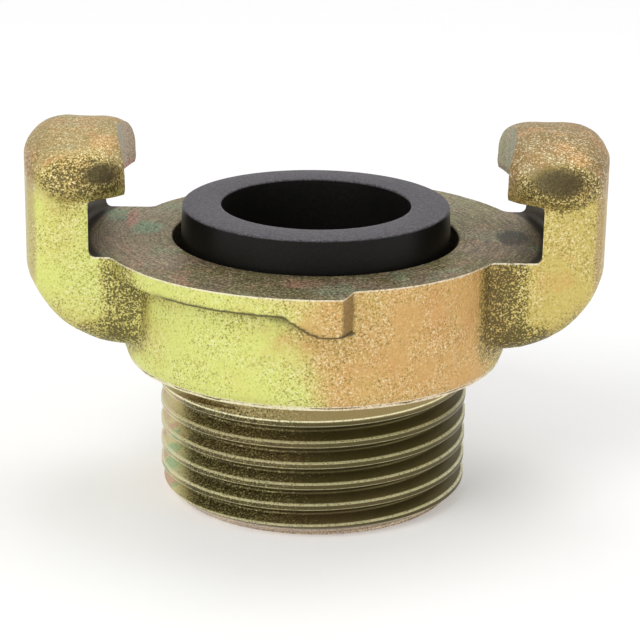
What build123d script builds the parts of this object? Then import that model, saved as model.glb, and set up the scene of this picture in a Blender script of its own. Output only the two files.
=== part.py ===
"""Claw half of a twist-lock compressed air coupling with a 1 inch male pipe thread.

Two pieces: the cast and turned coupling body, and the rubber seal ring that lies in
a turned recess in its top face. The mating half is the same shape turned upside down.
Its claw noses drop in beside the collars, turn under them past the lugs and hold,
while the two seal rings press on each other.

Millimetres. The origin is the centre of the thread's end face, +Z points to the
claws, and the two claws stand on -X and +X.
"""
from build123d import *
import math
import os

# Claw distance: the noses' inner faces, which every coupling half has in common
nose_diameter = 42.0

# Male thread: 1 inch parallel pipe thread, right-hand, 55 degree form
thread_major_diameter = 33.249
thread_pitch = 2.309
thread_depth = 1.479
thread_crest_flat = 0.385
thread_flank_angle = 27.5
thread_length = 15.65
thread_end_chamfer = 1.4
thread_end_angle = -112.0        # bearing where the last groove stops
thread_end_gap = 1.83            # from the middle of that groove up to the shoulder
thread_lead_in = 0.6             # turns that the cutter starts before the end face

# Bore, and the turned recess that holds the seal ring
bore_diameter = 23.0
bore_edge_chamfer = 0.6
recess_diameter = 30.6
recess_depth = 6.0

# Cast drum between the shoulder and the turned top face
drum_height = 12.65
drum_nose_clearance = 0.35       # between the drum and the mating half's noses
shoulder_width = 3.53            # from the thread's crest out to the drum's foot
drum_foot_height = 1.2
drum_edge_chamfer = 0.3

# Collars that the mating noses turn under, each ended by a deeper lug
collar_overhang = 2.6
collar_thickness = 2.15
collar_cove = 0.6
lug_depth = 2.05                 # below the collar
lug_face_x = 2.8                 # the lug's end face, where it meets the outer edge
lug_width = 5.55
lug_ramp = 2.6                   # run of the slope from the collar down to the lug
lug_bottom_round = 2.0
lug_blend = 1.2
lug_face_angle = 20.0

# Claws: arm, stem and hooked head, cast round and then turned on the inner side
hook_depth = 4.3                 # how far the nose hangs over the notch
stem_thickness = 5.45
stem_width = 19.6
stem_edge_round = 3.2
stem_set_back = 3.5              # from the nose tip to where the stem starts, above the notch
arm_lift = 1.55                  # from the drum's foot up to the arm
arm_sweep = 10.4
arm_blend = 1.5
arm_root_depth = 6.7             # how far the arm reaches into the drum
head_width = 21.8
head_height = 6.0
head_outer_round = 4.3
head_top_round = 3.6
head_dome_radius = 26.0          # the cap's top, curved from front to back
cap_nose_round = 6.0
cap_under_round = 1.4
cap_overlap = 0.2                # how far the cap's lower side lies below the nose's underside
neck_nose_round = 4.6
neck_underlap = 1.8              # how far the neck reaches down over the stem
nose_corner_depth = 1.8          # how far the nose's corners reach in past its middle
notch_height = 5.9
notch_corner_round = 0.6

# Seal ring: a flange fills the recess, and the lip stands proud of the top face
seal_flange_clearance = 0.15
seal_foot_clearance = 0.8
seal_lip_taper = 0.25
seal_wall = 4.4
seal_stand = 3.4
seal_flange_height = 3.5
seal_edge_chamfer = 0.3

# Room beyond the metal for a cutter to pass, and for the thread's thin cutter
cutter_room = 5.0
thread_cutter_room = 0.13

# Bearing of the drum's seam, clear of the arms and collars
seam_bearing = 45.0

# A blend takes at most this share of the wall it has room on
blend_share = 0.97

# Lengths closer than this count as equal
near = 0.01

# Heights and radii that follow from the sizes above
shoulder_z = thread_length
foot_z = shoulder_z + drum_foot_height
arm_bottom_z = foot_z + arm_lift
top_z = shoulder_z + drum_height
collar_z = top_z - collar_thickness
lug_z = collar_z - lug_depth
nose_z = top_z + notch_height
claw_top_z = nose_z + head_height
nose_radius = nose_diameter / 2
nose_tip = nose_radius - nose_corner_depth
notch_radius = nose_radius + hook_depth
claw_reach = notch_radius + stem_thickness
drum_radius = nose_radius - drum_nose_clearance
collar_radius = drum_radius + collar_overhang
major_radius = thread_major_diameter / 2
foot_radius = major_radius + shoulder_width
recess_radius = recess_diameter / 2
bore_radius = bore_diameter / 2


# Ways to place a box or cylinder: standing on its base, or also starting at x = 0
RISE = (Align.CENTER, Align.CENTER, Align.MIN)
FROM_X = (Align.MIN, Align.CENTER, Align.MIN)


def side_face(*points):
    """Return a face in the XZ plane through (x, z) points."""
    return Plane.XZ * make_face(Polyline(*points, close=True))


def nearest_y_edge(solid, x, z):
    """Return the edge along Y that passes closest to (x, z)."""
    edges = solid.edges().filter_by(Axis.Y)
    return edges.sort_by(lambda edge: (edge.center() - Vector(x, 0, z)).length)[0]


def blank():
    """Return the round core: threaded end with its chamfer, shoulder and drum."""
    outline = side_face(
        (0, 0),
        (major_radius - thread_end_chamfer, 0),
        (major_radius, thread_end_chamfer),
        (major_radius, shoulder_z),
        (foot_radius, shoulder_z),
        (drum_radius, foot_z),
        (drum_radius, top_z),
        (0, top_z),
    )
    foot_corner = outline.vertices().sort_by_distance((foot_radius, 0, shoulder_z))[0]
    return Rot(0, 0, seam_bearing) * revolve(chamfer(foot_corner, drum_edge_chamfer), Axis.Z)


def arm():
    """Return the +X arm and stem: a turned sector with flat sides and rounded edges."""
    root_x = drum_radius - arm_root_depth
    stem_x = nose_tip + stem_set_back
    lap_z = nose_z
    outline = side_face(
        (root_x, arm_bottom_z),
        (claw_reach, arm_bottom_z),
        (claw_reach, lap_z),
        (root_x, lap_z),
    )
    elbow = outline.vertices().sort_by_distance((claw_reach, 0, arm_bottom_z))[0]
    sector = revolve(fillet(elbow, arm_sweep), Axis.Z)
    low_slab = Pos(root_x, 0, 0) * Box(claw_reach, stem_width, top_z, align=FROM_X)
    stem_slab = Box(claw_reach, stem_width, lap_z - top_z, align=FROM_X)
    solid = sector & (low_slab + Pos(stem_x, 0, top_z) * stem_slab)
    rim = []
    for face in (solid.faces().sort_by(Axis.Y)[0], solid.faces().sort_by(Axis.Y)[-1]):
        for edge in face.edges():
            middle = edge @ 0.5
            is_under = middle.Z < top_z - near and middle.X > root_x + near
            is_outer = middle.X > claw_reach - stem_thickness and middle.Z < lap_z - near
            if is_under or is_outer:
                rim.append(edge)
    return fillet(rim, min(stem_edge_round, (claw_reach - stem_x) * blend_share))


def head_plan(width, nose_round):
    """Return the +X head's plan: nose corners, and a back that follows the claw's reach."""
    half = width / 2
    side_x = math.sqrt(claw_reach**2 - half**2)
    block = Polyline(
        (nose_tip, -half), (claw_reach, -half), (claw_reach, half), (nose_tip, half), close=True
    )
    plan = make_face(block) & Circle(claw_reach)
    plan = fillet(plan.vertices().sort_by(Axis.X)[:2], nose_round)
    back = [corner for corner in plan.vertices() if corner.X > side_x - near]
    return fillet(back, head_outer_round)


def head():
    """Return the +X claw head: a pillow-shaped cap on a neck as wide as the stem."""
    cap_z = nose_z - cap_overlap
    cap = extrude(Pos(0, 0, cap_z) * head_plan(head_width, cap_nose_round), claw_top_z - cap_z)
    dome = Rot(0, 90, 0) * Cylinder(head_dome_radius, 2 * (claw_reach + cutter_room))
    cap = cap & (Pos(0, 0, claw_top_z - head_dome_radius) * dome)
    cap = fillet(cap.faces().sort_by(Axis.Z)[-1].edges(), head_top_round)
    cap = fillet(cap.faces().sort_by(Axis.Z)[0].edges(), cap_under_round)
    neck_z = nose_z - neck_underlap
    neck_top_z = cap_z + cap_under_round
    neck = extrude(Pos(0, 0, neck_z) * head_plan(stem_width, neck_nose_round), neck_top_z - neck_z)
    return cap + neck


def pair(solid):
    """Return the solid and its copy half a turn round the axis."""
    return [solid, Rot(0, 0, 180) * solid]


def blended_arms(core):
    """Join both arms to the core and round the corner where they meet."""
    joined = core
    for piece in pair(arm()):
        joined = joined + piece
    corner = []
    for edge in joined.edges():
        points = [edge @ share for share in (0, 0.5, 1)]
        on_drum = all(abs(math.hypot(point.X, point.Y) - drum_radius) < near for point in points)
        beside_arm = abs(points[1].Y) < stem_width / 2 + near
        below_top = arm_bottom_z - near < points[1].Z < top_z - near
        if on_drum and beside_arm and below_top:
            corner.append(edge)
    return fillet(corner, min(arm_blend, arm_lift * blend_share))


def collar():
    """Return the -Y collar with its lug: a band seen from the front, cut to a ring."""
    drop = top_z - lug_z
    lug_start_x = lug_face_x - lug_width
    outline = side_face(
        (-collar_radius, top_z),
        (collar_radius, top_z),
        (collar_radius, lug_z),
        (lug_start_x + lug_ramp, lug_z),
        (lug_start_x, collar_z),
        (-collar_radius, collar_z),
    )
    band = extrude(outline, collar_radius)
    past_lug = Box(2 * collar_radius, 4 * collar_radius, drop, align=FROM_X)
    band = band - Pos(lug_face_x, -collar_radius, lug_z) * Rot(0, 0, -lug_face_angle) * past_lug
    band = fillet(nearest_y_edge(band, lug_start_x, collar_z), lug_blend)
    band = fillet(nearest_y_edge(band, lug_start_x + lug_ramp, lug_z), lug_bottom_round)
    under_face = band.faces().sort_by(Axis.Z)[0]
    band = fillet(under_face.edges().sort_by(Axis.X)[-1], lug_bottom_round)
    root_radius = drum_radius - collar_thickness
    ring = Cylinder(collar_radius, drop, align=RISE) - Cylinder(root_radius, drop, align=RISE)
    return band & (Pos(0, 0, lug_z) * ring)


def with_coves(body):
    """Round the corner under each collar where it meets the drum."""
    corner = []
    for edge in body.edges().filter_by(GeomType.CIRCLE):
        is_under = all(abs((edge @ share).Z - collar_z) < near for share in (0, 1))
        if is_under and abs(edge.radius - drum_radius) < near:
            corner.append(edge)
    return fillet(corner, min(collar_cove, collar_overhang * blend_share))


def thread_groove():
    """Return the thread's cutter, one solid a turn, from past the end to its last turn."""
    tangent = math.tan(math.radians(thread_flank_angle))
    half_top = (thread_pitch - thread_crest_flat) / 2
    half_root = half_top - thread_depth * tangent
    outer_radius = major_radius + thread_cutter_room
    half_outer = half_top + thread_cutter_room * tangent
    end_z = shoulder_z - thread_end_gap
    turns = math.ceil(end_z / thread_pitch + thread_lead_in)
    first_z = end_z - turns * thread_pitch
    outline = side_face(
        (major_radius - thread_depth, first_z - half_root),
        (outer_radius, first_z - half_outer),
        (outer_radius, first_z + half_outer),
        (major_radius - thread_depth, first_z + half_root),
    )
    path = Pos(0, 0, first_z) * Helix(thread_pitch, thread_pitch, major_radius)
    turn = Rot(0, 0, thread_end_angle) * sweep(outline, path=path, is_frenet=True)
    return [Pos(0, 0, count * thread_pitch) * turn for count in range(turns)]


def turned_space():
    """Return what the lathe takes out above the top face: nose bore and notch."""
    above_z = claw_top_z + cutter_room
    outline = side_face(
        (0, top_z),
        (notch_radius, top_z),
        (notch_radius, nose_z),
        (nose_radius, nose_z),
        (nose_radius, above_z),
        (0, above_z),
    )
    space = revolve(outline, Axis.Z)
    corner = space.edges().filter_by(GeomType.CIRCLE).sort_by(
        lambda edge: abs(edge.radius - notch_radius) + abs((edge @ 0).Z - top_z)
    )[0]
    return fillet(corner, notch_corner_round)


def coupling_body():
    """Return the whole casting, turned, bored and threaded."""
    body = blended_arms(blank())
    for piece in pair(head()) + pair(collar()):
        body = body + piece
    body = with_coves(body) - turned_space()
    recess = Cylinder(recess_radius, recess_depth + cutter_room, align=RISE)
    body = body - Pos(0, 0, top_z - recess_depth) * recess
    bore = Cylinder(bore_radius, top_z + 2 * cutter_room, align=RISE)
    body = body - Pos(0, 0, -cutter_room) * bore
    mouth = body.edges().filter_by(GeomType.CIRCLE).sort_by(
        lambda edge: abs(edge.radius - bore_radius) + abs((edge @ 0).Z)
    )[0]
    body = chamfer(mouth, bore_edge_chamfer)
    for turn in thread_groove():
        body = body - turn
    return body


def seal_ring():
    """Return the rubber ring: a flange in the recess under a tapered lip."""
    floor_z = top_z - recess_depth
    flange_z = floor_z + seal_flange_height
    crown_z = top_z + seal_stand
    foot = recess_radius - seal_foot_clearance
    hole = foot - seal_wall
    outline = side_face(
        (hole, floor_z),
        (recess_radius - seal_flange_clearance, floor_z),
        (recess_radius - seal_flange_clearance, flange_z),
        (foot, flange_z),
        (foot - seal_lip_taper, crown_z),
        (hole, crown_z),
    )
    ring = revolve(outline, Axis.Z)
    crown = ring.edges().filter_by(GeomType.CIRCLE).group_by(Axis.Z)[-1]
    return chamfer(crown, seal_edge_chamfer)


os.makedirs("parts", exist_ok=True)
for name, solid in (("coupling_body", coupling_body()), ("seal_ring", seal_ring())):
    export_step(solid, f"parts/{name}.step")
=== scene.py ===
"""Dressed model of the claw half of a twist-lock air coupling: casting, thread and seal ring.

The body is made the way the real one is: a rough casting with soft corners first, then
the turned faces and the thread are cut into it, so cut edges are crisp and cast ones soft.
Lengths are millimetres until a piece is finished, when it is scaled to metres.
"""
import bmesh
import bpy
import math
from mathutils import Matrix, Vector, kdtree, noise


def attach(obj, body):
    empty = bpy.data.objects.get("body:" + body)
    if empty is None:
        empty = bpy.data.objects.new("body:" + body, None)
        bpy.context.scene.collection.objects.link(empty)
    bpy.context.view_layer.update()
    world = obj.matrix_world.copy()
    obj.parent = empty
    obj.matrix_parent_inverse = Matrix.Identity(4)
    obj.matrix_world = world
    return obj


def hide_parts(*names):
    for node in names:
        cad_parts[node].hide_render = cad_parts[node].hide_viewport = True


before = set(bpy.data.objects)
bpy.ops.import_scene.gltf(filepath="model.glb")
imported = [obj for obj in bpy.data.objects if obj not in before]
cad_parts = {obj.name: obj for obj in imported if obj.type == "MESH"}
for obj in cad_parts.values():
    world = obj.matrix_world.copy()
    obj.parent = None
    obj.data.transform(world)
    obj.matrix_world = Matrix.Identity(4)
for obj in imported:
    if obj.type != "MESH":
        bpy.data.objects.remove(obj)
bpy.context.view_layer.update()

# Heights
shoulder_z = 15.65
foot_z = 16.85
arm_bottom_z = 18.4
lug_z = 24.1
collar_z = 26.15
top_z = 28.3
nose_z = 34.2
claw_top_z = 40.2

# Radii from the axis
bore_radius = 11.5
recess_radius = 15.3
thread_radius = 16.6245
foot_radius = 20.15
drum_radius = 20.65
nose_radius = 21.0
collar_radius = 23.25
notch_radius = 25.3
claw_reach = 30.75

# Thread
thread_pitch = 2.309
thread_depth = 1.42
thread_crest_flat = 0.42
thread_edge_round = 0.09
thread_flank_angle = 27.5
thread_end_angle = -112.0         # bearing and height where the groove's last turn ends
thread_end_z = 13.82
thread_end_chamfer = 1.4
thread_root_round = 0.16
thread_turns = 7
thread_run_out = 48.0             # degrees over which the groove fades out below the shoulder

# Seal ring
seal_hole_radius = 10.1
seal_foot_radius = 14.5
seal_lip_radius = 14.25
seal_flange_radius = 15.15
seal_floor_z = 22.3
seal_flange_z = 25.8
seal_crown_z = 31.7

# Casting
elbow_round = 10.2
stem_width = 19.6
stem_edge_round = 2.6
head_width = 21.8
head_back_round = 4.0
head_dome_drop = 2.4
raw_low_z = 13.0                  # the casting reaches down to here before its shoulder is turned
raw_top_z = top_z + 0.7           # the casting is this high before its face is turned
cast_grid = 0.30                  # size of the casting's mesh
coarse_grid = 0.8                 # size of the mesh that its dark places are found on
spare = 0.25                      # what the claws lose again when their corners are softened

CAST, TURNED, THREAD = range(3)


def new_piece(name, bm, zone=CAST):
    """Make an object of a bmesh, with all its faces in one finish zone."""
    for face in bm.faces:
        face.material_index = zone
    mesh = bpy.data.meshes.new(name)
    bm.to_mesh(mesh)
    bm.free()
    for finish in zone_finishes:
        mesh.materials.append(finish)
    piece = bpy.data.objects.new(name, mesh)
    bpy.context.scene.collection.objects.link(piece)
    return piece


def settle(piece):
    """Apply a piece's modifiers to its mesh."""
    depsgraph = bpy.context.evaluated_depsgraph_get()
    mesh = bpy.data.meshes.new_from_object(piece.evaluated_get(depsgraph))
    piece.modifiers.clear()
    old = piece.data
    piece.data = mesh
    bpy.data.meshes.remove(old)


def join_or_cut(piece, tool, operation):
    """Unite a piece with a tool, cut it out or keep what both share, and delete the tool."""
    step = piece.modifiers.new("machining", "BOOLEAN")
    step.operation = operation
    step.solver = "MANIFOLD"
    step.object = tool
    settle(piece)
    bpy.data.objects.remove(tool)


def lathe(outline, steps=240, hollow=False):
    """Turn (radius, height) points into a solid; they end on the axis, or form a hollow ring."""
    bm = bmesh.new()
    points = [bm.verts.new((radius, 0, height)) for radius, height in outline]
    following = points[1:] + points[:1] if hollow else points[1:]
    edges = [bm.edges.new(pair) for pair in zip(points, following)]
    bmesh.ops.spin(
        bm, geom=points + edges, cent=(0, 0, 0), axis=(0, 0, 1), angle=math.tau, steps=steps,
        use_merge=True,
    )
    return tidied(bm)


def tidied(bm):
    """Merge doubles and point the faces outwards."""
    bmesh.ops.remove_doubles(bm, verts=bm.verts, dist=0.0005)
    bmesh.ops.recalc_face_normals(bm, faces=bm.faces)
    return bm


def round_edges(bm, wanted, radius, segments=6):
    """Round the edges for which wanted(start, end) holds."""
    edges = [edge for edge in bm.edges if wanted(edge.verts[0].co, edge.verts[1].co)]
    bmesh.ops.bevel(
        bm, geom=edges, offset=radius, segments=segments, profile=0.5, affect="EDGES",
        material=-1,
    )


def round_turned_edge(bm, radius, height, size, segments=4):
    """Round the circular edge of a turned solid at one radius and height."""
    def on_circle(point):
        return abs(math.hypot(point.x, point.y) - radius) < 0.02 and abs(point.z - height) < 0.02
    round_edges(bm, lambda a, b: on_circle(a) and on_circle(b), size, segments)


def slab(outline, half_width):
    """Extrude a front-view outline of (x, z) points along Y, from -half_width to half_width."""
    bm = bmesh.new()
    face = bm.faces.new([bm.verts.new((x, -half_width, z)) for x, z in outline])
    grown = bmesh.ops.extrude_face_region(bm, geom=[face])["geom"]
    far = [part for part in grown if isinstance(part, bmesh.types.BMVert)]
    bmesh.ops.translate(bm, verts=far, vec=(0, 2 * half_width, 0))
    return tidied(bm)


def trim(bm, place, normal):
    """Cut off what lies beyond a plane, and close the cut."""
    cut = bmesh.ops.bisect_plane(
        bm, geom=bm.verts[:] + bm.edges[:] + bm.faces[:], plane_co=place, plane_no=normal,
        clear_outer=True,
    )
    rim = [part for part in cut["geom_cut"] if isinstance(part, bmesh.types.BMEdge)]
    bmesh.ops.holes_fill(bm, edges=rim)


def slice_across(bm, shortest=6, cuts=12):
    """Add cuts to every long edge that runs along Y, so that the block can be curved."""
    edges = [e for e in bm.edges if abs(e.verts[0].co.y - e.verts[1].co.y) > shortest]
    bmesh.ops.subdivide_edges(bm, edges=edges, cuts=cuts, use_grid_fill=True)


def melt(piece, grid):
    """Turn all that a piece holds into one even skin."""
    step = piece.modifiers.new("melt", "REMESH")
    step.mode = "VOXEL"
    step.voxel_size = grid
    settle(piece)


def raw_drum():
    """The round body of the casting, a little high so that its face can be turned."""
    return lathe(((0, raw_low_z), (foot_radius, raw_low_z), (foot_radius, shoulder_z),
                  (drum_radius, foot_z), (drum_radius, raw_top_z), (0, raw_top_z)))


def raw_arm():
    """The +X arm and stem: a slab with rounded edges, its back curved round the axis."""
    root_x, inner_x, lap_z = 12.0, 24.8, 34.9
    half_width = stem_width / 2 + 0.1
    reach, low_z = claw_reach + spare, arm_bottom_z - spare
    bm = slab(((root_x, low_z), (reach, low_z), (reach, lap_z), (inner_x, lap_z),
               (inner_x, raw_top_z), (root_x, raw_top_z)), half_width)

    def at_elbow(point):
        return abs(point.x - reach) < 0.01 and abs(point.z - low_z) < 0.01
    round_edges(bm, lambda a, b: at_elbow(a) and at_elbow(b), elbow_round, 14)

    def outer_rim(a, b):
        on_side = abs(a.y - b.y) < 0.01 and abs(a.y) > stem_width / 2
        middle = (a + b) / 2
        under = middle.z < top_z - 0.3 and middle.x > root_x + 0.1
        outer = middle.x > reach - 0.1
        return on_side and (under or outer) and middle.z < lap_z - 0.1
    round_edges(bm, outer_rim, stem_edge_round)
    slice_across(bm)
    for vert in bm.verts:
        vert.co.x = math.sqrt(max(vert.co.x**2 - vert.co.y**2, 1))
    return tidied(bm)


def head_block(width, tip, low_z, high_z, nose_round, top_round, under_round):
    """A block of the +X claw head: rounded all over, with its back curved round the axis."""
    reach = claw_reach + spare
    bm = bmesh.new()
    bmesh.ops.create_cube(bm, size=1)
    bmesh.ops.scale(bm, vec=(reach - tip, width, high_z - low_z), verts=bm.verts)
    centre = ((reach + tip) / 2, 0, (high_z + low_z) / 2)
    bmesh.ops.translate(bm, vec=centre, verts=bm.verts)

    def upright(a, b):
        return abs(a.z - b.z) > 1
    round_edges(bm, lambda a, b: upright(a, b) and a.x < tip + 1, nose_round, 9)
    round_edges(bm, lambda a, b: upright(a, b) and a.x > reach - 1, head_back_round, 8)
    round_edges(bm, lambda a, b: a.z > high_z - 0.01 and b.z > high_z - 0.01, top_round, 7)
    round_edges(bm, lambda a, b: a.z < low_z + 0.01 and b.z < low_z + 0.01, under_round, 7)
    slice_across(bm)
    for vert in bm.verts:
        share = (vert.co.x - tip) / (reach - tip)
        curve = reach - math.sqrt(reach**2 - vert.co.y**2)
        vert.co.x -= curve * share
    return tidied(bm)


def head_cap():
    """The pillow-shaped cap of the +X head, domed from front to back."""
    bm = head_block(
        width=head_width + 0.4, tip=18.9, low_z=nose_z - 0.5, high_z=claw_top_z + 0.1,
        nose_round=7.3, top_round=3.6, under_round=2.6,
    )
    for vert in bm.verts:
        above = min(max(vert.co.z - nose_z, 0) / (claw_top_z - nose_z), 1)
        vert.co.z -= head_dome_drop * above * (2 * vert.co.y / head_width) ** 2
    return bm


def head_neck():
    """What carries the cap and hangs down as the nose, as wide as the stem."""
    return head_block(
        width=stem_width + 0.1, tip=18.5, low_z=nose_z - 0.6, high_z=nose_z + 1.6,
        nose_round=6.2, top_round=1.0, under_round=1.5,
    )


def raw_collar():
    """The -Y collar with its lug: a band seen from the front, trimmed to a ring."""
    face_x, ramp_x, slope_x = 2.8, -0.15, -2.75
    face_turn = math.radians(-20)
    root_radius = 18.2
    bm = slab(((-collar_radius, raw_top_z), (collar_radius, raw_top_z), (collar_radius, lug_z),
               (ramp_x, lug_z), (slope_x, collar_z), (-collar_radius, collar_z)), collar_radius + 1)
    trim(bm, (face_x, -collar_radius, 0), (math.cos(face_turn), math.sin(face_turn), 0))
    trim(bm, (0, -1, 0), (0, 1, 0))
    tidied(bm)

    def at(x, z):
        def along_y(a, b):
            near = abs(a.x - x) < 0.02 and abs(a.z - z) < 0.02
            return near and abs(a.z - b.z) < 0.01 and abs(a.x - b.x) < 0.02
        return along_y
    round_edges(bm, at(slope_x, collar_z), radius=1.0, segments=4)
    round_edges(bm, at(ramp_x, lug_z), radius=1.3, segments=4)

    def under_face(a, b):
        low = abs(a.z - lug_z) < 0.02 and abs(b.z - lug_z) < 0.02
        return low and min(a.x, b.x) > face_x - 0.3
    round_edges(bm, under_face, radius=1.7, segments=5)
    band = new_piece("collar", bm)
    ring = lathe(((root_radius, lug_z - 1), (collar_radius, lug_z - 1), (collar_radius, raw_top_z),
                  (root_radius, raw_top_z)), steps=180, hollow=True)
    join_or_cut(band, new_piece("collar ring", ring), "INTERSECT")
    return band


def turned_copy(piece):
    """A copy of a piece turned half way round the axis."""
    copy = piece.copy()
    copy.data = piece.data.copy()
    copy.data.transform(Matrix.Rotation(math.pi, 4, "Z"))
    bpy.context.scene.collection.objects.link(copy)
    return copy


def raw_casting():
    """Melt drum, arms, heads and collars into one skin and soften its corners."""
    pieces = []
    halves = [new_piece("arm", raw_arm()), new_piece("cap", head_cap()),
              new_piece("neck", head_neck()), raw_collar()]
    for half in halves:
        pieces += [half, turned_copy(half)]
    casting = new_piece("body_casting", raw_drum())
    with bpy.context.temp_override(
        active_object=casting, selected_editable_objects=[casting] + pieces
    ):
        bpy.ops.object.join()
    melt(casting, cast_grid)
    soften(casting)
    return casting


def softness(point):
    """How much a corner of the casting is rounded: the claws most, the collars least."""
    least, on_drum = 0.10, 0.6
    reach = math.hypot(point.x, point.y)
    beside_claw = min(max((abs(point.x) - 14.5) / 3.0, 0), 1)
    away_from_drum = min(max((reach - 20.0) / 1.5, 0), 1)
    return least + (1 - least) * beside_claw * max(away_from_drum, on_drum)


def soften(casting):
    """Smooth the skin, more at the claws, then add the casting's slight waviness."""
    slow_wave, fine_wave, skin_loss = 0.07, 0.035, 0.04
    slow_scale, fine_scale = 0.35, 1.1
    limit = claw_reach - 0.02
    group = casting.vertex_groups.new(name="soft")
    for vert in casting.data.vertices:
        group.add([vert.index], softness(vert.co), "REPLACE")
    smooth = casting.modifiers.new("soft corners", "SMOOTH")
    smooth.factor = 0.5
    smooth.iterations = 14
    smooth.vertex_group = group.name
    settle(casting)
    bm = bmesh.new()
    bm.from_mesh(casting.data)
    bm.normal_update()
    for vert in bm.verts:
        wave = noise.noise(vert.co * slow_scale) * slow_wave
        wave += noise.noise(vert.co * fine_scale) * fine_wave
        vert.co += vert.normal * (wave - skin_loss)
        reach = math.hypot(vert.co.x, vert.co.y)
        if reach > limit:
            vert.co.x *= limit / reach
            vert.co.y *= limit / reach
        vert.co.z = min(vert.co.z, claw_top_z - 0.01)
    bm.to_mesh(casting.data)
    bm.free()


def shoulder_tool():
    """What the lathe takes off below the shoulder, leaving a fine rim at the drum's foot."""
    low_z, reach = 10.0, 34.0
    rim_radius, rim_z = 20.22, 15.98
    bm = lathe(((0, low_z), (reach, low_z), (reach, rim_z), (rim_radius, rim_z),
                (rim_radius, shoulder_z), (0, shoulder_z)))
    return new_piece("shoulder tool", bm, TURNED)


def face_tool():
    """What the lathe takes out between the claws: top face, notches and nose bore."""
    high_z = 45.0
    bm = lathe(((0, top_z), (notch_radius, top_z), (notch_radius, nose_z), (nose_radius, nose_z),
                (nose_radius, high_z), (0, high_z)))
    round_turned_edge(bm, notch_radius, top_z, size=0.6)
    round_turned_edge(bm, notch_radius, nose_z, size=0.3)
    return new_piece("face tool", bm, TURNED)


def bore_tool():
    """The bore with its chamfered mouth, and the recess for the seal ring."""
    mouth, below = 0.6, 5.0
    recess_mouth, above = 0.12, 3.98
    bm = lathe(((0, -below), (bore_radius + mouth + below, -below), (bore_radius, mouth),
                (bore_radius, seal_floor_z), (recess_radius, seal_floor_z),
                (recess_radius, top_z - recess_mouth),
                (recess_radius + recess_mouth + above, top_z + above), (0, top_z + above)))
    return new_piece("bore tool", bm, TURNED)


def spigot():
    """The turned blank of the thread, with its end chamfer."""
    high_z = 16.3
    bm = lathe(((0, 0), (thread_radius - thread_end_chamfer, 0), (thread_radius, thread_end_chamfer),
                (thread_radius, high_z), (0, high_z)), steps=288)
    return new_piece("spigot", bm, THREAD)


def thread_tool():
    """The thread's groove as one long helical solid with a rounded root."""
    slope = math.tan(math.radians(thread_flank_angle))
    half_top = (thread_pitch - thread_crest_flat) / 2
    outer = thread_radius + 0.05
    edge = thread_radius - thread_edge_round
    half_edge = half_top - thread_edge_round * 1.1
    root = thread_radius - thread_depth
    half_root = half_edge - (edge - root) * slope
    steps_a_turn = 120
    first_z = thread_end_z - thread_turns * thread_pitch
    bm = bmesh.new()
    outline = ((outer, half_top), (edge, half_edge), (root, half_root), (root, -half_root),
               (edge, -half_edge), (outer, -half_top))
    points = [bm.verts.new((radius, 0, first_z + height)) for radius, height in outline]
    bm.faces.new(points)
    bmesh.ops.bevel(
        bm, geom=points[2:4], offset=thread_root_round, segments=3, profile=0.5,
        affect="VERTICES", material=-1,
    )
    turn = Matrix.Rotation(math.radians(thread_end_angle), 3, "Z")
    bmesh.ops.rotate(bm, verts=bm.verts, cent=(0, 0, 0), matrix=turn)
    loop = bm.verts[:] + bm.edges[:]
    bmesh.ops.delete(bm, geom=bm.faces[:], context="FACES_ONLY")
    bmesh.ops.spin(
        bm, geom=loop, cent=(0, 0, 0), axis=(0, 0, 1), dvec=(0, 0, thread_pitch / steps_a_turn),
        angle=math.tau * thread_turns, steps=steps_a_turn * thread_turns,
    )
    bmesh.ops.holes_fill(bm, edges=bm.edges[:])
    fade_out(bm)
    return new_piece("thread tool", tidied(bm), THREAD)


def fade_out(bm):
    """Lift the last part of the helical tool out of the metal, so that its groove ends softly."""
    clear = thread_depth + 0.1
    span = math.radians(thread_run_out)
    end = math.radians(thread_end_angle) + 0.001        # a hair past the tool's end face
    for vert in bm.verts:
        left = (end - math.atan2(vert.co.y, vert.co.x)) % math.tau
        middle_z = thread_end_z - left / math.tau * thread_pitch
        if left < span and abs(vert.co.z - middle_z) < thread_pitch / 2:
            radius = math.hypot(vert.co.x, vert.co.y)
            grown = 1 + (1 - left / span) * clear / radius
            vert.co.x *= grown
            vert.co.y *= grown


def dark_places(casting):
    """Find how hollow the casting is, and how far it looks down, on a coarse copy, for its painted
    shade.
    """
    hollow_gain, least_shade, underside_gain, blur_rounds = 5.0, -0.3, 1.1, 4
    coarse = casting.copy()
    coarse.data = casting.data.copy()
    bpy.context.scene.collection.objects.link(coarse)
    melt(coarse, coarse_grid)
    bm = bmesh.new()
    bm.from_mesh(coarse.data)
    bm.normal_update()
    shade = []
    for vert in bm.verts:
        ends = [edge.other_vert(vert).co for edge in vert.link_edges]
        middle = sum(ends, Vector()) / len(ends)
        hollow = (middle - vert.co).dot(vert.normal) * hollow_gain
        underside = max(-vert.normal.z - 0.12, 0) * underside_gain
        shade.append(min(max(hollow, least_shade), 1.0) + underside)
    for _ in range(blur_rounds):
        shade = [
            0.5 * shade[vert.index] + 0.5 * sum(
                shade[edge.other_vert(vert).index] for edge in vert.link_edges
            ) / len(vert.link_edges)
            for vert in bm.verts
        ]
    places = kdtree.KDTree(len(bm.verts))
    for vert in bm.verts:
        places.insert(vert.co, vert.index)
    places.balance()
    bm.free()
    bpy.data.objects.remove(coarse)
    return places, shade


def store_shade(body, places, shade):
    """Give every point of the body a shade from 0 to 1, from the nearest places of the copy."""
    neighbours, soft_mm = 5, 0.2
    values = []
    for vert in body.data.vertices:
        total = weights = 0
        for _, index, distance in places.find_n(vert.co, neighbours):
            weight = 1 / (distance + soft_mm)
            total += weight * shade[index]
            weights += weight
        values.append(min(max(total / weights, 0), 1))
    layer = body.data.attributes.new("shade", "FLOAT", "POINT")
    layer.data.foreach_set("value", values)


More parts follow.
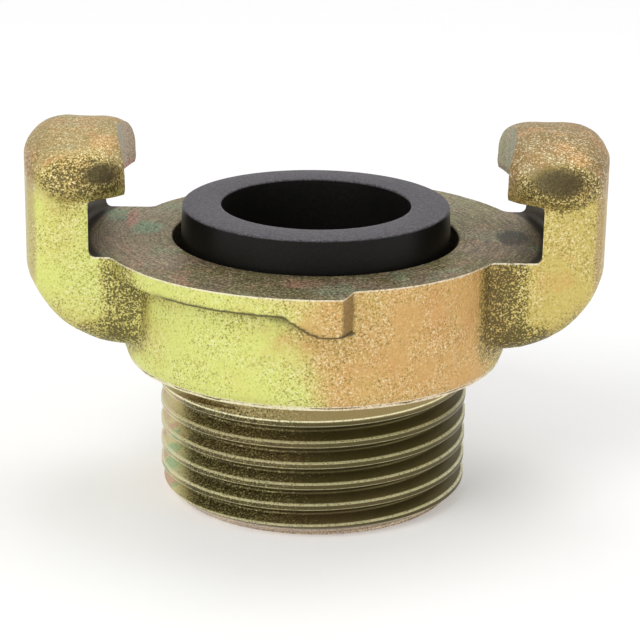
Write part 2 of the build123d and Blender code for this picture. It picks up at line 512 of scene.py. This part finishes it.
def store_edges(body):
    """Store how far each point looks down, and how sharply it is ridged (over 0.5) or creased."""
    bm = bmesh.new()
    bm.from_mesh(body.data)
    bmesh.ops.remove_doubles(bm, verts=bm.verts, dist=0.0004)
    bm.normal_update()
    bend = []
    for vert in bm.verts:
        slopes = [
            (vert.co - edge.other_vert(vert).co).normalized().dot(vert.normal)
            for edge in vert.link_edges
        ]
        bend.append(sum(slopes) / len(slopes))
    edge_layer = bm.verts.layers.float.new("edge")
    down_layer = bm.verts.layers.float.new("down")
    for vert in bm.verts:
        near = [bend[edge.other_vert(vert).index] for edge in vert.link_edges]
        value = 0.6 * bend[vert.index] + 0.4 * sum(near) / len(near)
        vert[edge_layer] = min(max(0.5 + value, 0), 1)
        vert[down_layer] = max(-vert.normal.z, 0)
    bm.to_mesh(body.data)
    bm.free()


def finish_piece(piece, node, sharp_angle=32.0):
    """Mark a piece's sharp edges, scale it to metres and put it in place of its node."""
    bm = bmesh.new()
    bm.from_mesh(piece.data)
    bmesh.ops.remove_doubles(bm, verts=bm.verts, dist=0.0004)
    limit = math.radians(sharp_angle)
    for face in bm.faces:
        face.smooth = True
    for edge in bm.edges:
        if len(edge.link_faces) == 2:
            other_zone = edge.link_faces[0].material_index != edge.link_faces[1].material_index
            edge.smooth = edge.calc_face_angle(0) < limit and not other_zone
    bmesh.ops.scale(bm, vec=(0.001, 0.001, 0.001), verts=bm.verts)
    bm.to_mesh(piece.data)
    bm.free()
    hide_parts(node)
    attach(piece, "root")


def coupling_body():
    """Cast, turn, bore and thread the body."""
    body = raw_casting()
    places, shade = dark_places(body)
    join_or_cut(body, shoulder_tool(), "DIFFERENCE")
    join_or_cut(body, face_tool(), "DIFFERENCE")
    threaded = spigot()
    join_or_cut(threaded, thread_tool(), "DIFFERENCE")
    join_or_cut(body, threaded, "UNION")
    join_or_cut(body, bore_tool(), "DIFFERENCE")
    store_shade(body, places, shade)
    store_edges(body)
    finish_piece(body, "coupling_body")


def seal_ring():
    """The rubber ring: a flange in the recess under a tapered lip with soft edges."""
    bm = lathe(((seal_hole_radius, seal_floor_z), (seal_flange_radius, seal_floor_z),
                (seal_flange_radius, seal_flange_z), (seal_foot_radius, seal_flange_z),
                (seal_lip_radius, seal_crown_z), (seal_hole_radius, seal_crown_z)), hollow=True)
    for radius in (seal_lip_radius, seal_hole_radius):
        round_turned_edge(bm, radius, seal_crown_z, size=0.22)
    round_turned_edge(bm, seal_flange_radius, seal_flange_z, size=0.3)
    round_turned_edge(bm, seal_hole_radius, seal_floor_z, size=0.3)
    piece = new_piece("seal_rubber", bm)
    piece.data.materials.clear()
    piece.data.materials.append(rubber_finish())
    finish_piece(piece, "seal_ring")


class Value:
    """A number that varies over the surface; arithmetic on it adds Math nodes."""

    def __init__(self, finish, socket):
        self.finish = finish
        self.socket = socket

    def math(self, operation, *others):
        """The result of a Math node on this value and others."""
        return self.finish.number("ShaderNodeMath", {"operation": operation}, (self, *others))

    def __add__(self, other):
        return self.math("ADD", other)

    def __sub__(self, other):
        return self.math("SUBTRACT", other)

    def __rsub__(self, other):
        return self.finish.number("ShaderNodeMath", {"operation": "SUBTRACT"}, (other, self))

    def __mul__(self, other):
        return self.math("MULTIPLY", other)

    def __truediv__(self, other):
        return self.math("DIVIDE", other)

    def between(self, low, high):
        """0 below low, 1 above high, and a soft step in between."""
        settings = {"interpolation_type": "SMOOTHSTEP"}
        return self.finish.number("ShaderNodeMapRange", settings, (self, low, high))

    def spot(self, centre, size, other, other_centre, other_size):
        """1 in the middle of an oval patch of two coordinates, fading to 0 outside it."""
        across = (self - centre) / size
        along = (other - other_centre) / other_size
        return 1 - (across * across + along * along).between(0.25, 1.5)

    __radd__ = __add__
    __rmul__ = __mul__


class Finish:
    """A material and the nodes that make it."""

    def __init__(self, name):
        self.material = bpy.data.materials.new(name)
        self.material.use_nodes = True
        self.tree = self.material.node_tree
        self.shader = self.tree.nodes["Principled BSDF"]
        self.place = self.node("ShaderNodeTexCoord").outputs["Object"]

    def node(self, kind, settings=None, inputs=()):
        """Add a node, set it up, and feed its sockets in order or by name."""
        node = self.tree.nodes.new(kind)
        for key, value in (settings or {}).items():
            setattr(node, key, value)
        named = inputs.items() if isinstance(inputs, dict) else enumerate(inputs)
        for key, value in named:
            self.feed(node.inputs[key], value)
        return node

    def feed(self, socket, value):
        """Link a socket to a value, or set it."""
        if isinstance(value, Value):
            value = value.socket
        if isinstance(value, bpy.types.NodeSocket):
            self.tree.links.new(value, socket)
        else:
            socket.default_value = value

    def number(self, kind, settings=None, inputs=(), output=0):
        """Add a node and take one of its outputs as a value."""
        return Value(self, self.node(kind, settings, inputs).outputs[output])

    def stored(self, name):
        """A value that the piece's own mesh carries."""
        return self.number("ShaderNodeAttribute", {"attribute_name": name}, output="Fac")

    def speckle(self, size_mm, detail=2.0, seed=0.0):
        """Noise from 0 to 1 whose grains are about size_mm across."""
        inputs = {"Vector": self.place, "Scale": 1000.0 / size_mm, "Detail": detail, "W": seed}
        return self.number("ShaderNodeTexNoise", {"noise_dimensions": "4D"}, inputs)

    def streaks(self, radius, bearing, size_mm, length):
        """Noise drawn out along the turning, with streaks about size_mm wide."""
        place = self.node("ShaderNodeCombineXYZ", {}, (radius / size_mm, bearing * length))
        return self.number("ShaderNodeTexNoise", {}, {"Vector": place.outputs[0], "Scale": 1.0})

    def axes(self):
        """X, Y and Z in millimetres."""
        parts = self.node("ShaderNodeSeparateXYZ", {}, (self.place,)).outputs
        return [Value(self, part) * 1000.0 for part in parts]

    def mix(self, share, first, second):
        """Mix two colours."""
        node = self.node("ShaderNodeMix", {"data_type": "RGBA"})
        self.feed(node.inputs["Factor"], share)
        for socket, colour in ((node.inputs[6], first), (node.inputs[7], second)):
            self.feed(socket, (*colour, 1.0) if isinstance(colour, tuple) else colour)
        return node.outputs[2]

    def flecked(self, hue, tone, low, high):
        """Mix a dark colour in where tone is below zero, and a pale one where it is above."""
        hue = self.mix((0 - tone).between(0.0, 0.9) * 0.85, hue, low)
        return self.mix(tone.between(0.1, 0.9) * 0.75, hue, high)

    def bump(self, height, strength, distance_mm):
        """Bump from a height."""
        inputs = {"Strength": strength, "Distance": distance_mm / 1000.0, "Height": height}
        return self.node("ShaderNodeBump", {}, inputs).outputs[0]

    def set(self, **sockets):
        """Set or link sockets of the shader; an underscore in a name stands for a space."""
        for name, value in sockets.items():
            socket = self.shader.inputs[name.replace("_", " ")]
            if isinstance(value, tuple) and socket.type == "RGBA":
                value = (*value, 1.0)
            self.feed(socket, value)
        return self.material


# Colours of the casting
lime = (0.74, 0.77, 0.22)
ochre = (0.69, 0.55, 0.16)
copper = (0.72, 0.44, 0.16)
orange = (0.72, 0.38, 0.14)
head_brown = (0.50, 0.32, 0.14)
gold = (0.62, 0.50, 0.15)
fleck_gold = (0.27, 0.21, 0.05)
umber = (0.06, 0.045, 0.018)
cap_shade_dark = (0.15, 0.12, 0.05)
# dark of the painted shade under the caps
cap_brown = (0.36, 0.20, 0.09)
pale = (0.95, 0.90, 0.60)
# pale of the painted highlights on the rims
rim_highlight = (0.95, 0.86, 0.68)
limb_brown = (0.46, 0.30, 0.20)
silver_olive = (0.50, 0.48, 0.30)

# Colours of the turned faces
dull_brown = (0.21, 0.175, 0.07)
mauve_brown = (0.31, 0.21, 0.15)
pale_brown = (0.50, 0.38, 0.26)
sage = (0.23, 0.37, 0.21)
rose = (0.60, 0.27, 0.20)
# dark of the painted shade in the notches
notch_shade = (0.03, 0.022, 0.012)
turned_dark = (0.05, 0.04, 0.02)
turned_pale = (0.66, 0.57, 0.33)

# Colours of the thread
flank_olive = (0.12, 0.10, 0.035)
flank_brown = (0.16, 0.12, 0.05)
flank_dark = (0.03, 0.025, 0.01)
flank_pale = (0.62, 0.56, 0.24)
bronze = (0.42, 0.32, 0.13)
# pale of the painted highlight on the crest edges
crest_highlight = (0.97, 0.92, 0.58)
# pale of the painted highlight on the thread's left limb
limb_highlight = (0.95, 0.85, 0.46)
limb_rose = (0.88, 0.62, 0.42)
limb_green = (0.56, 0.74, 0.40)
end_rose = (0.84, 0.68, 0.52)

# Colours of the rubber
rubber_black = (0.004, 0.004, 0.003)
rubber_grain = (0.012, 0.011, 0.010)
# grey of the painted sheen on the crown
rubber_sheen = (0.15, 0.138, 0.158)
# paler grey for the front edge of the hole
rubber_front_edge = (0.22, 0.21, 0.22)


def cast_hue(cast, x, z):
    """The slow drift of colour over the casting, from lime on the left to copper on the right."""
    patch = cast.speckle(9, 3) - 0.5
    small = cast.speckle(3, 3, seed=11.0)
    hue = cast.mix((x + patch * 26).between(-5.5, 3.0), lime, copper)
    hue = cast.mix((x + patch * 10).between(17.5, 22.0), hue, ochre)
    hue = cast.mix((patch * 1.6 + 0.1).between(0.1, 0.4) * 0.45, hue, ochre)
    hue = cast.mix(small.between(0.52, 0.68) * x.between(-12.0, 6.0) * 0.5, hue, orange)
    low_claw = (26.0 - z).between(0.0, 6.0) * x.math("ABSOLUTE").between(20.0, 24.0)
    hue = cast.mix(low_claw * 0.5, hue, gold)
    high = (z + patch * 8).between(33.5, 37.0)
    hue = cast.mix(high * 0.85, hue, cast.mix(x.between(-5.0, 5.0), head_brown, cap_brown))
    hue = cast.mix(high * small.between(0.50, 0.62) * 0.55, hue, orange)
    return cast.mix(high * (1 - small.between(0.32, 0.44)) * 0.3, hue, silver_olive)


def cast_shadow(cast, x, y, z):
    """Painted shade where dark specks crowd: hollows of the claws, the drum's corners, under the
    caps and arms, along the collars, more on the right.
    """
    out = x.math("ABSOLUTE")
    side = y.math("ABSOLUTE")
    # the painted shade is stronger on the right side
    right = x.between(-4.0, 4.0) * 0.45 + 0.75
    hollow = cast.stored("shade") * out.between(13.0, 17.0) * 0.9
    cap = x.spot(-23.6, 4.8, z, 36.4, 2.2) * 1.4 + x.spot(25.3, 3.6, z, 36.2, 2.2)
    cap = cap * side.between(6.0, 9.0)
    corner = out.spot(19.7, 2.7, side, 11.4, 3.0) * z.between(16.5, 20.0)
    elbow = out.spot(21.9, 2.7, z, 20.2, 1.5) * 0.8
    near_lug = cast.stored("shade") * 0.35
    return (hollow + cap + corner + elbow) * right + near_lug


def under_cap_shade(x, y, z):
    """Painted shade: smooth dark patches under the caps, small on the left and large on the right.
    """
    patches = x.spot(-21.8, 1.9, z, 37.0, 1.0) + x.spot(24.5, 3.0, z, 37.0, 1.4)
    return patches * y.math("ABSOLUTE").between(6.0, 9.0)


def cast_lines(cast, x, y, z, reach):
    """Painted shade: thin dark lines under the collars and on the lugs' ends."""
    by_drum = (1 - x.math("ABSOLUTE").between(14.5, 17.0)) * z.between(18.0, 20.0)
    under = cast.stored("down").between(0.0, 0.35) + cast.stored("shade").between(0.45, 0.75) * 0.5
    facing = x * y.math("SIGN") * -1.0
    lug_end = facing.between(2.6, 2.9) * (1 - facing.between(4.0, 4.5)) * reach.between(20.6, 21.0)
    return under * by_drum * 0.85 + lug_end * (z - lug_z).between(-0.2, 0.6) * 0.5


def cast_finish():
    """Yellow zinc on a rough casting: sparkling grain, pale ridges, painted shade in hollows and
    under the caps, painted highlight lines on the rims.
    """
    cast = Finish("zinc on casting")
    x, y, z = cast.axes()
    reach = (x * x + y * y).math("SQRT")
    edge = cast.stored("edge")
    hue = cast_hue(cast, x, z)
    limb = reach.between(30.0, 30.4) * y.math("ABSOLUTE").between(1.5, 7.0)
    hue = cast.mix(limb * (cast.speckle(2, 2) * 0.5 + 0.3), hue, limb_brown)
    hue = cast.mix((edge - 0.5).between(0.10, 0.30) * 0.5, hue, pale)
    # painted shade: a gold tint, and more and darker flecks, where shade falls
    dark = cast_shadow(cast, x, y, z)
    hue = cast.mix(dark.between(0.0, 0.6) * 0.6, hue, gold)
    # painted shade under the caps: smooth dark patches, with the grain calmed there
    shade_patch = under_cap_shade(x, y, z)
    hue = cast.mix(shade_patch * 0.85, hue, cap_shade_dark)
    grain = cast.speckle(0.17, 2, seed=1.0)
    flecks = cast.speckle(0.3, 3, seed=5.0)
    busy = cast.speckle(6, 2, seed=9.0).between(0.38, 0.60)
    strength = busy * 3.2 + dark.between(0.0, 1.0) * 3.0 + z.between(34.0, 37.0) * 3.0 + 3.0
    tone = (grain * 0.75 + flecks * 0.25 - 0.5) * strength * (1 - shade_patch * 0.8) - dark * 0.6
    hue = cast.flecked(hue, tone, cast.mix(dark.between(0.0, 0.7), fleck_gold, umber), pale)
    # painted shade: thin dark lines under the collars and on the lugs' ends
    hue = cast.mix(cast_lines(cast, x, y, z, reach), hue, umber)
    # painted highlight: a pale line along the rim of the top face, and a painted reflection of the
    # floor along the drum's foot
    at_rim = (z - top_z).between(-0.22, -0.12) * (1 - (z - top_z).between(0.1, 0.2))
    rim = at_rim * (1 - reach.between(24.8, 25.2))
    foot = 1 - z.between(16.0, 16.2)
    hue = cast.mix((rim + foot) * (grain.between(0.3, 0.6) * 0.6 + 0.25), hue, rim_highlight)
    rough = 0.46 + (cast.speckle(0.3, 2) - 0.5) * 0.4
    normal = cast.bump(grain + flecks, 1.0, 0.08)
    return cast.set(Base_Color=hue, Metallic=0.7, Roughness=rough, Normal=normal)


def turned_finish():
    """Zinc on turned faces: dull brown with green and rose tints and fine tool rings, and painted
    shade in the notches.
    """
    turned = Finish("zinc on turned faces")
    x, y, z = turned.axes()
    radius = (x * x + y * y).math("SQRT")
    lines = turned.streaks(radius, y.math("ARCTAN2", x), 0.22, 5.0)
    grain = turned.speckle(0.22, 3)
    blur = (grain - 0.5) * 0.5
    patch = turned.speckle(6, 3) + blur
    hue = turned.mix(patch.between(0.42, 0.60) * 0.7, dull_brown, mauve_brown)
    hue = turned.mix((0 - x).between(13.0, 19.0) * 0.45, hue, pale_brown)
    wobble = turned.speckle(3, 3, seed=2.0) * 3.0 - 1.5
    green = (x + wobble).spot(-21.8, 1.8, y, 6.3, 2.4) + (x + wobble).spot(-18.2, 1.7, y, 1.7, 2.6)
    green = green + (turned.speckle(5, 3, seed=3.0) + blur).between(0.54, 0.68) * 0.6
    hue = turned.mix(green * 0.9, hue, sage)
    red = (x + wobble).spot(-20.1, 0.7, y, 5.4, 3.6)
    red = red + (turned.speckle(4, 3, seed=7.0) + blur).between(0.56, 0.70) * 0.6
    hue = turned.mix(red * 0.85, hue, rose)
    hue = turned.mix((y + wobble).between(-2.0, 24.0) * 0.55, hue, silver_olive)
    hue = turned.mix(z.between(nose_z + 0.4, nose_z + 0.8) * 0.5, hue, silver_olive)
    # painted shade: the notch wall under the nose is made nearly black
    wall = radius.between(23.6, 24.3) * (nose_z - 0.2 - z).between(0.0, 0.3)
    hue = turned.mix(wall * 0.92, hue, notch_shade)
    # painted shade: darker flecks on the face under the nose's edge
    shade_patch = (x + wobble * 0.3).spot(21.0, 1.7, y, -0.5, 2.8) * (1 - (z - top_z).between(0.1, 0.4))
    tone = ((grain - 0.5) * 4.8 + (lines - 0.5) * 2.0) * (1 - wall * 0.75) - shade_patch * 1.2
    hue = turned.flecked(hue, tone, turned_dark, turned_pale)
    rough = 0.44 + (grain - 0.5) * 0.2
    normal = turned.bump(lines + grain, 0.5, 0.05)
    return turned.set(Base_Color=hue, Metallic=0.7, Roughness=rough, Normal=normal)


def thread_finish():
    """Zinc on the thread: dark olive flanks; painted highlights on the crest edges and the left
    limb, with green and rose tints there; a painted dark reflection on each crest flat.
    """
    crest_edge_at = 0.135             # from the middle of the crest, as a share of the pitch
    cut = Finish("zinc on thread")
    x, y, z = cut.axes()
    bearing = y.math("ARCTAN2", x)
    turns_round = (bearing - math.radians(thread_end_angle)) / math.tau
    from_groove = ((z - thread_end_z) / thread_pitch - turns_round).math("FRACT")
    from_crest = (from_groove - 0.5).math("ABSOLUTE")
    crest_edge = 1 - (from_crest - crest_edge_at).math("ABSOLUTE").between(0.02, 0.055)
    crest_middle = 1 - from_crest.between(0.03, 0.09)
    radius = (x * x + y * y).math("SQRT")
    high = radius.between(thread_radius - 0.4, thread_radius - 0.15)
    left_limb = (0 - x).between(12.2, 15.4)
    grain = cut.speckle(0.2, 3)
    hue = cut.mix(cut.speckle(8, 2).between(0.4, 0.65), flank_olive, flank_brown)
    hue = cut.mix(z.between(12.8, 13.4) * 0.7, hue, bronze)
    busy = 1 - x.between(-9.0, 4.0)
    # painted highlight on the left limb, the side towards the key lamp, with green and rose tints of
    # the plating
    tint = cut.mix(cut.speckle(4, 2, seed=3.0).between(0.48, 0.58), limb_highlight, limb_green)
    tint = cut.mix(cut.speckle(5, 2, seed=6.0).between(0.50, 0.60), tint, limb_rose)
    hue = cut.mix(left_limb * 0.9, hue, tint)
    tone = (grain - 0.5) * (busy * 5.0 + 1.5) * (1 - left_limb * 0.7)
    hue = cut.flecked(hue, tone, flank_dark, flank_pale)
    # painted dark reflection on the crest flats, then a painted highlight along the crest edges
    hue = cut.mix(crest_middle * high * 0.45, hue, umber)
    hue = cut.mix(crest_edge * high * (grain.between(0.3, 0.55) * 0.6 + 0.35), hue, crest_highlight)
    end = 1 - z.between(0.9, 1.2)
    hue = cut.mix(end * (grain.between(0.35, 0.6) * 0.6 + 0.3), hue, end_rose)
    rough = 0.36 + (grain - 0.5) * 0.2
    normal = cut.bump(grain, 0.5, 0.05)
    return cut.set(Base_Color=hue, Metallic=0.75, Roughness=rough, Normal=normal)


def rubber_finish():
    """Matt black rubber: a painted grey sheen on the crown, and a paler grey along the front edge of
    the hole.
    """
    rubber = Finish("black rubber")
    x, y, z = rubber.axes()
    radius = (x * x + y * y).math("SQRT")
    grain = rubber.speckle(0.2, 3)
    crown = (z - seal_crown_z).between(-0.25, -0.05)
    hue = rubber.mix(grain.between(0.35, 0.7) * 0.6, rubber_black, rubber_grain)
    # painted sheen: the crown is made lighter grey
    crown_sheen = crown * (grain.between(0.3, 0.75) * 0.8 + 0.2)
    hue = rubber.mix(crown_sheen, hue, rubber_sheen)
    # paler grey along the hole's edge, on the front half of the crown
    from_edge = (radius - seal_hole_radius - 0.15).math("ABSOLUTE")
    front_edge = (1 - from_edge.between(0.05, 0.2)) * (0 - y).between(0.0, 5.0)
    hue = rubber.mix(front_edge * crown * grain.between(0.4, 0.6) * 0.8, hue, rubber_front_edge)
    rough = 0.38 + (grain - 0.5) * 0.2
    rubber.set(Specular_IOR_Level=0.2)
    return rubber.set(Base_Color=hue, Roughness=rough, Normal=rubber.bump(grain, 0.3, 0.03))


def studio():
    """Floor, soft lamps and pale surroundings."""
    floor_tone = (0.84, 0.84, 0.84)
    seen_glow = (0.19, 0.19, 0.19)
    bm = bmesh.new()
    bmesh.ops.create_grid(bm, x_segments=1, y_segments=1, size=3.0)
    mesh = bpy.data.meshes.new("floor")
    bm.to_mesh(mesh)
    bm.free()
    floor = bpy.data.objects.new("floor", mesh)
    bpy.context.scene.collection.objects.link(floor)
    finish = Finish("pale floor")
    path = finish.node("ShaderNodeLightPath").outputs
    seen = [Value(finish, path[kind]) for kind in
            ("Is Camera Ray", "Is Glossy Ray", "Is Transmission Ray")]
    glow = (seen[0] + seen[1] + seen[2]).between(0.0, 1.0)
    backdrop = finish.mix(glow, (0.0, 0.0, 0.0), seen_glow)
    finish.set(Base_Color=floor_tone, Roughness=0.7, Emission_Color=backdrop, Emission_Strength=1.0)
    mesh.materials.append(finish.material)
    lamp("key", (-0.45, -0.55, 0.6), size=0.5, power=3.4)
    lamp("top", (0.1, 0.25, 0.8), size=0.5, power=1.6)
    lamp("right", (0.7, -0.35, 0.4), size=0.35, power=0.6)
    surroundings()


def lamp(name, place, size, power):
    """A square soft lamp that points at the object's middle."""
    middle = Vector((0, 0, 0.02))
    light = bpy.data.lights.new(name, "AREA")
    light.shape = "SQUARE"
    light.size = size
    light.energy = power
    holder = bpy.data.objects.new(name, light)
    holder.location = place
    aim = middle - Vector(place)
    holder.rotation_euler = aim.to_track_quat("-Z", "Y").to_euler()
    bpy.context.scene.collection.objects.link(holder)


def surroundings():
    """Plain pale light from all round."""
    strength = 0.6
    world = bpy.data.worlds.new("studio")
    world.use_nodes = True
    bpy.context.scene.world = world
    back = world.node_tree.nodes["Background"]
    back.inputs["Color"].default_value = (1, 1, 1, 1)
    back.inputs["Strength"].default_value = strength


def camera():
    """The photograph's view: from in front and above, a long lens."""
    place = (0, -0.22983, 0.094686)
    lens_mm, sensor_mm = 125.7, 36.0
    down, pan, roll = math.radians(18.32), math.radians(0.15), math.radians(0.89)
    ahead = Vector((math.sin(pan) * math.cos(down), math.cos(pan) * math.cos(down), -math.sin(down)))
    level = ahead.cross(Vector((0, 0, 1))).normalized()
    upright = level.cross(ahead)
    right = level * math.cos(roll) + upright * math.sin(roll)
    up = right.cross(ahead)
    view = bpy.data.cameras.new("camera")
    view.lens = lens_mm
    view.sensor_width = sensor_mm
    holder = bpy.data.objects.new("camera", view)
    turn = Matrix((right, up, -ahead)).transposed()
    holder.matrix_world = Matrix.Translation(place) @ turn.to_4x4()
    bpy.context.scene.collection.objects.link(holder)
    bpy.context.scene.camera = holder


zone_finishes = [cast_finish(), turned_finish(), thread_finish()]
coupling_body()
seal_ring()
studio()
camera()
bpy.context.scene.view_settings.view_transform = "Standard"
